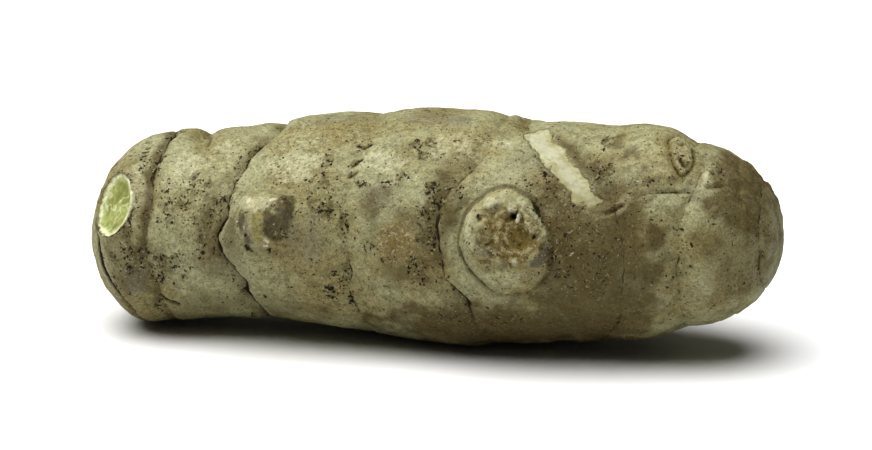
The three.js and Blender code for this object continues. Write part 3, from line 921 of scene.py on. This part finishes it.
stubStainsAndShade = {  # each spot is (u, v, wide, tall, lean, strength)
    "large": {
        "rust": (
            (2.3, 0.8, 2, 1.9, 0, 1), (1.6, 0.6, 3.2, 3.6, 0, 0.55), (-2.4, -2.6, 1, 0.35, 0, 0.9),
            (3, -5, 1.1, 0.8, 0, 0.45), (6.2, 3, 0.8, 0.9, 0, 0.8), (2.2, 2.6, 0.9, 0.8, 0, 0.9),
            (4, -0.6, 1.5, 1.6, 0, 0.6), (-2.2, 2, 1.6, 1, 0, 0.4),
        ),
        "cream": (
            (0.4, -4.9, 3.6, 1.4, 0, 0.45), (-1.9, 5.1, 1.3, 0.8, 20, 0.7),
            (2, 3.3, 0.36, 0.75, -10, 1), (1.2, 4.25, 0.6, 0.3, 0, 0.9),
            (1.6, -2.3, 0.8, 0.55, 0, 1), (-4.4, 1.5, 0.7, 3.4, 8, 0.5), (3.5, 2.2, 0.5, 1.2, 40, 0.8),
            (3.6, 4.3, 0.4, 2.2, 42, 0.8), (5.6, 1.6, 0.4, 1.2, 25, 0.9),
            (-1.2, -1.2, 0.65, 0.2, -45, 1), (-2.4, 1.4, 0.8, 1.1, 12, 0.4),
        ),
        # the umber at (5, 4.9), just outside the upper right rim, is painted shadow
        "umber": (
            (-2.5, 1.2, 1.6, 2, 12, 0.4), (5, 4.9, 2.2, 0.8, -50, 0.7), (3.6, 0.6, 1, 1.2, 0, 0.5),
            (0.7, 2.4, 0.5, 1, 0, 0.5), (-2.4, 1.3, 1.3, 1.6, 12, 0.45), (1.5, 0, 1.6, 2.2, 0, 0.3),
        ),
        "ash": (
            (5.5, -0.9, 0.8, 1.5, 10, 1), (4.7, -2.5, 1.3, 0.7, 20, 0.9), (-2.3, -1.2, 1.4, 0.8, 0, 0.9),
            (-1, 4.4, 0.9, 0.9, 0, 0.7), (0.2, -2.8, 1.1, 0.6, 0, 0.7), (1, 4.4, 0.6, 0.5, 0, 0.9),
        ),
        "soil": ((1.2, 3.5, 0.45, 0.42, 0, 1),),
        # chalk: pale scraps and scratches, partly painted highlights, such as the spots by the hole at (1.2,
        # 3.5)
        "chalkAndHighlight": (
            (2, 3.25, 0.3, 0.75, -12, 1), (1.3, 4.45, 0.65, 0.28, 0, 0.9),
            (-1.35, -1.25, 0.5, 0.16, -50, 1), (1.6, -2.3, 0.6, 0.35, 0, 0.8),
            (5.7, 1.6, 0.2, 0.7, 25, 0.45), (9, -1.1, 0.85, 0.1, 42, 0.8), (8.3, 1.6, 0.5, 0.09, 42, 0.7),
            (7.4, 0.4, 0.4, 0.08, 38, 0.6), (9.4, 0.7, 0.5, 0.08, 45, 0.6), (6.8, -0.9, 0.1, 0.6, 8, 0.6),
            (3, 2, 0.35, 0.6, 40, 0.6),
        ),
        "callus": (
            (5.4, -1, 0.7, 1.5, 10, 0.45), (4.5, -2.8, 1.2, 0.5, 20, 0.4),
            (0.2, -3, 0.9, 0.4, 0, 0.45), (-2.4, -1.1, 1.2, 0.7, 0, 0.4),
        ),
    },
    # on the small stub, the cream on its upper left is partly painted highlight, and the umber and callus on
    # its right partly painted shade
    "small": {
        "cream": (
            (-0.3, 1.9, 1.8, 1.2, 15, 0.85), (-2.8, 2.2, 1.2, 0.8, 30, 1),
            (0.9, -2.8, 0.35, 0.3, 20, 1), (1.5, 2.6, 0.3, 0.3, 0, 1), (4.1, 2.1, 0.25, 0.9, 20, 0.8),
        ),
        "ash": (
            (0, 1.9, 1.6, 1.1, 15, 0.25), (-2.4, -0.8, 1, 1.6, -20, 0.95),
            (-1.4, -2.6, 0.9, 1.1, -30, 0.95), (2.7, 2.4, 1.3, 1, 20, 0.4), (3.6, 0.6, 0.7, 0.6, 0, 0.9),
        ),
        "yolk": ((0.1, -0.5, 0.6, 1.6, -12, 0.9), (-0.3, -2.2, 0.5, 0.9, -12, 0.8)),
        "umber": (
            (1.9, -1.2, 1.6, 1.9, 8, 0.8), (3, 2.2, 1.5, 1.3, 20, 1), (1.1, 0.2, 0.7, 0.8, 0, 0.8),
        ),
        "soil": (
            (-2.2, -3.8, 0.7, 0.45, -30, 1), (0.9, -3.9, 0.5, 0.3, 0, 1),
            (1.7, 2, 0.22, 0.9, -20, 0.9), (-2.6, -2, 1, 1.4, 0, 0.6),
            (2.6, -2, 1.1, 0.8, 20, 0.9), (3, 2.4, 0.8, 0.7, 0, 0.7), (1.1, -1, 0.5, 1.2, 0, 0.7),
            (-2.6, 0.4, 0.7, 0.9, 0, 0.9),
        ),
        "callus": (
            (3, 1.8, 1.3, 1.5, 15, 0.7), (2.2, -1.1, 1.6, 2, -15, 0.75),
            (2.9, 0.3, 0.9, 0.9, 0, 0.6), (-2.7, -0.4, 0.7, 1.3, -15, 0.7),
            (-1.9, -2.6, 0.6, 1.3, -35, 0.7), (1.2, 0.3, 0.5, 0.8, -40, 0.5),
        ),
        # chalk: pale specks, partly painted highlights
        "chalkAndHighlight": (
            (1.4, 2.5, 0.24, 0.4, -20, 0.9), (1, -3, 0.28, 0.28, 0, 0.9), (0.5, -3.5, 0.35, 0.2, 30, 0.9),
            (1, 1.3, 0.18, 0.8, -35, 0.7), (-2.2, -1.4, 0.2, 0.2, 0, 0.9), (-3.3, -0.6, 0.2, 0.2, 0, 0.8),
            (-1.4, -2.1, 0.15, 0.5, 20, 0.8), (-2, 2.2, 0.7, 0.4, 30, 0.6), (2, -0.6, 0.15, 0.15, 0, 0.8),
        ),
    },
    "back": {
        "umber": ((0.4, -0.6, 1.8, 2.2, 20, 0.6),),
        "callus": ((-1.3, 1.2, 1.3, 1.1, -20, 0.8), (1.2, -2.6, 1.4, 0.8, 10, 0.6)),
        "ash": ((1.8, 1.6, 1, 0.8, 30, 0.8),),
        "cream": ((-2.9, -1.8, 0.7, 1.6, 35, 0.6),),
        "soil": ((1, -1.2, 0.8, 0.6, 0, 0.9), (-0.6, -2.4, 0.8, 0.5, 0, 0.8)),
        # chalk: pale specks, partly painted highlights
        "chalkAndHighlight": ((0.9, 1.9, 0.3, 0.5, 20, 0.8), (-1.8, -0.4, 0.2, 0.6, -15, 0.8)),
    },
}


def paintStub(stub, stubSpots):
    u, v, near, _ = frameAt(stub["along"], stub["turn"])
    inside = byAngle(np.arctan2(v, u), stub["outline"]) - np.hypot(u, v)
    pigments["umber"] *= 1 - 0.8 * near * ease(inside, 0.0, 0.8)  # the umber round a stub, stain and painted shadow alike, stops at its edge
    u, v = u + 0.35 * flutter, v + 0.3 * wander
    for pigment, spots in stubSpots.items():
        for *oval, strength in spots:
            daub(pigment, near * strength * spot(u, v, *oval, 2.2))


stainAndShade()
for name, stubSpots in stubStainsAndShade.items():
    paintStub(stubs[name], stubSpots)
# the hollow field drives the painted shade in hollows and the painted highlight on crests
edges["hollow"] = np.clip(evened(heights, 14) - heights, -0.5, 0.5)  # mm below the skin round each point
print("stains:", sum(len(spots) for spots in stainsAndShade.values()))


# The mesh.

def buildSkin(name):
    rows, columns = points.shape[:2]
    ends = [points[0].mean(0), points[-1].mean(0)]
    vertices = np.concatenate([points.reshape(-1, 3), ends]) * mm
    index = np.arange(rows * columns).reshape(rows, columns)
    beside = np.roll(index, -1, 1)
    quads = np.stack([index[:-1], index[1:], beside[1:], beside[:-1]], axis=2).reshape(-1, 4)
    caps = np.concatenate(
        [
            np.stack([beside[0], np.full(columns, rows * columns), index[0]], axis=1),
            np.stack([index[-1], np.full(columns, rows * columns + 1), beside[-1]], axis=1),
        ]
    )
    mesh = bpy.data.meshes.new(name)
    mesh.from_pydata(vertices.tolist(), [], quads.tolist() + caps.tolist())
    mesh.polygons.foreach_set("use_smooth", [True] * len(mesh.polygons))
    seam = np.clip(lines["gap"], 0, 3) * lines["side"]
    fields = {**pigments, **edges, "seam": seam, "seamDark": lines["strength"]}
    for attribute, field in fields.items():
        values = np.concatenate([field.ravel(), [field[0].mean(), field[-1].mean()]])
        mesh.attributes.new(attribute, "FLOAT", "POINT").data.foreach_set("value", values.astype(np.float32))
    piece = bpy.data.objects.new(name, mesh)
    bpy.context.scene.collection.objects.link(piece)
    return piece


skin = buildSkin("rhizomeSkin")
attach(skin, "root")
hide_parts("rhizome")
print("skin built:", len(skin.data.polygons), "faces")


# The finish.

skinColours = {
    "pale": (0.330, 0.324, 0.196),
    "tan": (0.262, 0.227, 0.110),
    "olive": (0.168, 0.156, 0.067),
    "soil": (0.014, 0.012, 0.008),
    "seam": (0.026, 0.019, 0.008),
    # umber: brown stains and dirt, and painted shade and shadow
    "umber": (0.105, 0.080, 0.030),
    "ash": (0.187, 0.176, 0.134),
    "rust": (0.200, 0.148, 0.038),
    "husk": (0.310, 0.245, 0.110),
    "cream": (0.470, 0.462, 0.310),
    "yolk": (0.290, 0.272, 0.085),
    "callus": (0.115, 0.100, 0.058),
    # chalk: pale scraps, and painted highlights on the stubs
    "chalkAndHighlight": (0.560, 0.550, 0.420),
    "peeled": (0.370, 0.354, 0.200),
    "milk": (0.500, 0.500, 0.385),
    "flesh": (0.335, 0.360, 0.145),
    "fleshRim": (0.610, 0.610, 0.420),
    "fleshCore": (0.220, 0.230, 0.074),
}

finish = bpy.data.materials.new("rhizomeFinish")
finish.use_nodes = True
tree = finish.node_tree


def add(kind, sockets, **settings):  # a socket's value is a number, a colour or another node's output
    node = tree.nodes.new(kind)
    for name, value in settings.items():
        setattr(node, name, value)
    for socket, value in sockets.items():
        if isinstance(value, bpy.types.NodeSocket):
            tree.links.new(value, node.inputs[socket])
        else:
            node.inputs[socket].default_value = value
    return node


def calc(operation, a, b=0.0, c=0.0):
    return add("ShaderNodeMath", {0: a, 1: b, 2: c}, operation=operation).outputs[0]


def plus(a, b):
    return calc("ADD", a, b)


def less(a, b):
    return calc("SUBTRACT", a, b)


def times(a, b):
    return calc("MULTIPLY", a, b)


def magnitude(value):
    return calc("ABSOLUTE", value)


def step(value, low, high):  # 0 below low, 1 above high, eased between
    sockets = {"Value": value, "From Min": low, "From Max": high}
    return add("ShaderNodeMapRange", sockets, interpolation_type="SMOOTHSTEP").outputs[0]


def scaled(value, fromLow, fromHigh, low, high):
    sockets = {"Value": value, "From Min": fromLow, "From Max": fromHigh, "To Min": low, "To Max": high}
    return add("ShaderNodeMapRange", sockets).outputs[0]


def blend(amount, under, over, kind="MIX"):
    node = add("ShaderNodeMix", {0: amount}, data_type="RGBA", blend_type=kind)
    for socket, colour in ((6, under), (7, over)):
        if isinstance(colour, bpy.types.NodeSocket):
            tree.links.new(colour, node.inputs[socket])
        else:
            node.inputs[socket].default_value = (*colour, 1)
    return node.outputs[2]


def tint(colour, mask, most, name):  # one of the skin's colours over another, where the mask is 1
    return blend(times(mask, most), colour, skinColours[name])


def painted(name):  # what the features left in the skin
    return add("ShaderNodeAttribute", {}, attribute_name=name).outputs["Fac"]


objectPlace = add("ShaderNodeTexCoord", {}).outputs["Object"]
placeInMm = add("ShaderNodeVectorMath", {0: objectPlace, "Scale": 1 / mm}, operation="SCALE").outputs[0]


# Soft noise around 0.5, in blobs of size mm; apart shifts it, so that no two match.
def cloud(size, detail, rough, apart=0.0):
    shift = (apart, apart * 0.7, -apart)
    place = add("ShaderNodeVectorMath", {0: placeInMm, 1: shift}, operation="ADD").outputs[0]
    sockets = {"Vector": place, "Scale": 1 / size, "Detail": detail, "Roughness": rough}
    return add("ShaderNodeTexNoise", sockets).outputs["Fac"]


broad, patchy, fine = cloud(9, 3, 0.55), cloud(2.4, 4, 0.6, 11), cloud(0.75, 3, 0.65, 23)
grain, mealy = cloud(0.30, 2, 0.7, 37), cloud(0.5, 2, 0.6, 51)


def swing(noiseField, reach):  # the noise about 0
    return times(less(noiseField, 0.5), reach)


def washed(colour, name, soften, most):  # a pigment in its own colour, with a ragged edge
    uneven = plus(swing(patchy, 1.3), 1.0)
    ragged = plus(times(painted(name), uneven), swing(fine, 0.8))
    return tint(colour, step(ragged, 0.5 - soften / 2, 0.5 + soften / 2), most, name)


def shaded(colour, noiseField, darkest, lightest):  # multiplies by the noise, spread from darkest to lightest
    grey = scaled(noiseField, 0.32, 0.68, darkest, lightest)
    grey = add("ShaderNodeCombineColor", {channel: grey for channel in range(3)}).outputs[0]
    return blend(1.0, colour, grey, "MULTIPLY")


def livingSkin():
    colour = blend(step(broad, 0.38, 0.68), skinColours["pale"], skinColours["tan"])
    colour = tint(colour, step(patchy, 0.46, 0.70), 0.50, "olive")
    colour = washed(colour, "cream", 0.9, 0.75)
    colour = washed(colour, "ash", 0.8, 0.85)
    colour = washed(colour, "rust", 0.8, 0.9)
    colour = washed(colour, "yolk", 0.6, 0.9)
    colour = washed(colour, "umber", 1.0, 0.85)
    return shaded(shaded(colour, grain, 0.80, 1.20), fine, 0.79, 1.21)


def scabbed(colour):  # grime and painted shade in the hollows, painted highlight on the crests, dry scales, scab, and chalky scraps that are partly painted highlights
    hollow, scurf = painted("hollow"), painted("scurf")
    colour = tint(colour, scurf, 0.45, "husk")
    shadeAndGrimeColour = blend(scurf, skinColours["umber"], skinColours["rust"])
    # painted shade, with some grime, where the skin lies below its surroundings
    hollowShadeAndGrime = step(plus(hollow, swing(fine, 0.2)), 0.05, 0.26)
    colour = blend(times(hollowShadeAndGrime, 0.65), colour, shadeAndGrimeColour)
    # painted highlight on the crests
    colour = tint(colour, step(hollow, -0.05, -0.25), 0.35, "cream")
    rifts = step(magnitude(less(cloud(0.9, 3, 0.6, 140), 0.5)), 0.035, 0.005)
    colour = tint(colour, times(rifts, scurf), 0.6, "umber")
    scraps = step(cloud(0.55, 2, 0.6, 150), 0.56, 0.64)
    colour = tint(colour, times(scraps, scurf), 0.5, "cream")
    colour = washed(colour, "callus", 0.9, 0.85)
    colour = tint(colour, times(painted("callus"), step(fine, 0.50, 0.62)), 0.7, "umber")
    # chalky scraps, partly painted highlights, laid on last
    return washed(colour, "chalkAndHighlight", 0.4, 0.8)


masks = {}  # what each stage leaves for the fine relief


def soiled(colour):  # pale flakes, smudges, dark crumbs and freckles
    dirt = plus(painted("soil"), times(less(broad, 0.42), 1.1))
    dirt = less(dirt, times(painted("scurf"), 0.3))
    flakes = step(plus(cloud(0.42, 2, 0.6, 90), times(dirt, 0.10)), 0.655, 0.72)
    colour = tint(colour, flakes, 0.45, "cream")
    smudges = step(plus(cloud(1.5, 3, 0.65, 95), times(dirt, 0.16)), 0.60, 0.78)
    colour = tint(colour, smudges, 0.6, "umber")
    specks = plus(cloud(0.46, 1, 0.6, 60), times(dirt, 0.115))
    crumbs = plus(cloud(0.72, 2, 0.65, 64), times(dirt, 0.125))
    halo = calc("MAXIMUM", step(specks, 0.64, 0.74), step(crumbs, 0.66, 0.75))
    specks = calc("MAXIMUM", step(specks, 0.70, 0.80), step(crumbs, 0.715, 0.785))
    colour = tint(tint(colour, halo, 0.55, "umber"), specks, 0.95, "soil")
    masks.update(flakes=flakes, specks=specks)
    return tint(colour, step(cloud(0.38, 1, 0.5, 84), 0.665, 0.72), 0.65, "umber")


def lined(colour):  # leaf scars, outlines and cracks
    dark = painted("seamDark")
    thin = times(less(1.0, dark), 0.40)
    gap = plus(magnitude(painted("seam")), swing(cloud(0.9, 3, 0.6, 70), 0.8))
    seam = step(plus(gap, thin), 0.26, 0.12)
    masks["seam"] = seam
    seamTint = blend(step(dark, 0.3, 0.9), skinColours["umber"], skinColours["seam"])
    return blend(times(seam, 0.94), colour, seamTint)


def peeled(colour):  # the moist layer where the skin has come off
    torn = plus(painted("peel"), swing(patchy, 1.6))
    peel = plus(torn, swing(fine, 1.0))
    masks["peel"] = peel
    streaks = blend(step(patchy, 0.42, 0.62), skinColours["peeled"], skinColours["cream"])
    streaks = shaded(tint(streaks, step(fine, 0.50, 0.66), 0.5, "tan"), grain, 0.85, 1.15)
    streaks = tint(streaks, step(torn, 0.5, 1.3), 0.7, "milk")
    streaks = tint(streaks, step(cloud(1.1, 3, 0.65, 155), 0.52, 0.62), 0.5, "pale")
    streaks = tint(streaks, painted("umber"), 0.4, "tan")
    colour = tint(colour, step(magnitude(peel), 0.30, 0.05), 0.15, "umber")
    return blend(times(step(peel, -0.15, 0.45), 0.92), colour, streaks)


def snapped(colour):  # the flesh in the broken face
    flesh = painted("flesh")
    inFlesh = plus(flesh, swing(mealy, 0.3))
    masks["flesh"] = inFlesh
    rimmed = plus(flesh, swing(patchy, 1.6))
    meat = blend(step(rimmed, 0.25, 0.85), skinColours["fleshRim"], skinColours["flesh"])
    core = times(step(cloud(3.0, 2, 0.5, 131), 0.46, 0.60), step(rimmed, 0.7, 1.5))
    meat = tint(meat, core, 0.8, "fleshCore")
    fibres = step(magnitude(less(cloud(3.6, 2, 0.5, 136), 0.5)), 0.03, 0.006)
    meat = tint(meat, fibres, 0.45, "fleshRim")
    meat = shaded(shaded(meat, fine, 0.82, 1.18), mealy, 0.85, 1.15)
    return blend(step(inFlesh, 0.0, 0.15), colour, meat)


def fineRelief():  # in mm, what is too fine for the mesh
    height = times(patchy, 0.35)
    for mask, rise in ((fine, 0.28), (grain, 0.10)):
        height = plus(height, times(mask, rise))
    for name, rise in (("specks", -0.12), ("seam", -0.18), ("flakes", 0.08)):
        height = plus(height, times(masks[name], rise))
    calm = step(calc("MAXIMUM", masks["peel"], masks["flesh"]), -0.1, 0.3)
    height = times(height, less(1.0, times(calm, 0.75)))
    return add("ShaderNodeBump", {"Strength": 0.8, "Distance": mm, "Height": height}).outputs[0]


shader = tree.nodes["Principled BSDF"]
shader.inputs["Specular IOR Level"].default_value = 0.25
tree.links.new(snapped(peeled(lined(soiled(scabbed(livingSkin()))))), shader.inputs["Base Color"])
tree.links.new(scaled(mealy, 0.3, 0.7, 0.52, 0.74), shader.inputs["Roughness"])
tree.links.new(fineRelief(), shader.inputs["Normal"])
skin.data.materials.append(finish)
print("finish made")


# The floor, the light and the camera.

studio = {
    "cameraAzimuth": 12.0,  # degrees round from the front
    "cameraElevation": 15.0,
    "cameraDistance": 0.653,  # metres
    "lens": 200.0,  # mm
    "lightTilt": (8.0, 12.0),  # degrees from straight overhead, toward the camera and to the left
    "lightSpread": 72.0,  # degrees across, for soft shadows
    "lightPower": 3.58,
    "fill": 0.075,  # light from all round
    "floor": 0.84,  # how white it is
    "floorSize": 200,  # metres, so that its edge is far off
}


def makeCamera():
    lens = bpy.data.cameras.new("camera")
    lens.lens = studio["lens"]
    camera = bpy.data.objects.new("camera", lens)
    bpy.context.scene.collection.objects.link(camera)
    middle = Vector((0, 0, highCorner.z / 2))
    azimuth, elevation = (math.radians(studio[name]) for name in ("cameraAzimuth", "cameraElevation"))
    level = math.cos(elevation)
    back = Vector((math.sin(azimuth) * level, -math.cos(azimuth) * level, math.sin(elevation)))
    camera.location = middle + back * studio["cameraDistance"]
    camera.rotation_euler = (-back).to_track_quat("-Z", "Y").to_euler()
    bpy.context.scene.camera = camera


def makeStage():
    bpy.ops.mesh.primitive_plane_add(size=studio["floorSize"])
    floor = bpy.context.object
    floor.name = "floor"
    paper = bpy.data.materials.new("whitePaper")
    paper.use_nodes = True
    shader = paper.node_tree.nodes["Principled BSDF"]
    shader.inputs["Base Color"].default_value = (*[studio["floor"]] * 3, 1)
    shader.inputs["Roughness"].default_value = 0.9
    floor.data.materials.append(paper)


def makeLight():
    lamp = bpy.data.lights.new("overhead", "SUN")
    lamp.angle = math.radians(studio["lightSpread"])
    lamp.energy = studio["lightPower"]
    light = bpy.data.objects.new("overhead", lamp)
    forward, left = (math.tan(math.radians(tilt)) for tilt in studio["lightTilt"])
    light.rotation_euler = Vector((-left, -forward, 1)).to_track_quat("Z", "Y").to_euler()
    bpy.context.scene.collection.objects.link(light)
    world = bpy.data.worlds.new("studio")
    world.use_nodes = True
    background = world.node_tree.nodes["Background"]
    background.inputs["Color"].default_value = (1, 1, 1, 1)
    background.inputs["Strength"].default_value = studio["fill"]
    bpy.context.scene.world = world
    bpy.context.scene.view_settings.view_transform = "Standard"
    bpy.context.scene.view_settings.look = "High Contrast"


makeStage()
makeLight()
makeCamera()
print("stage set")
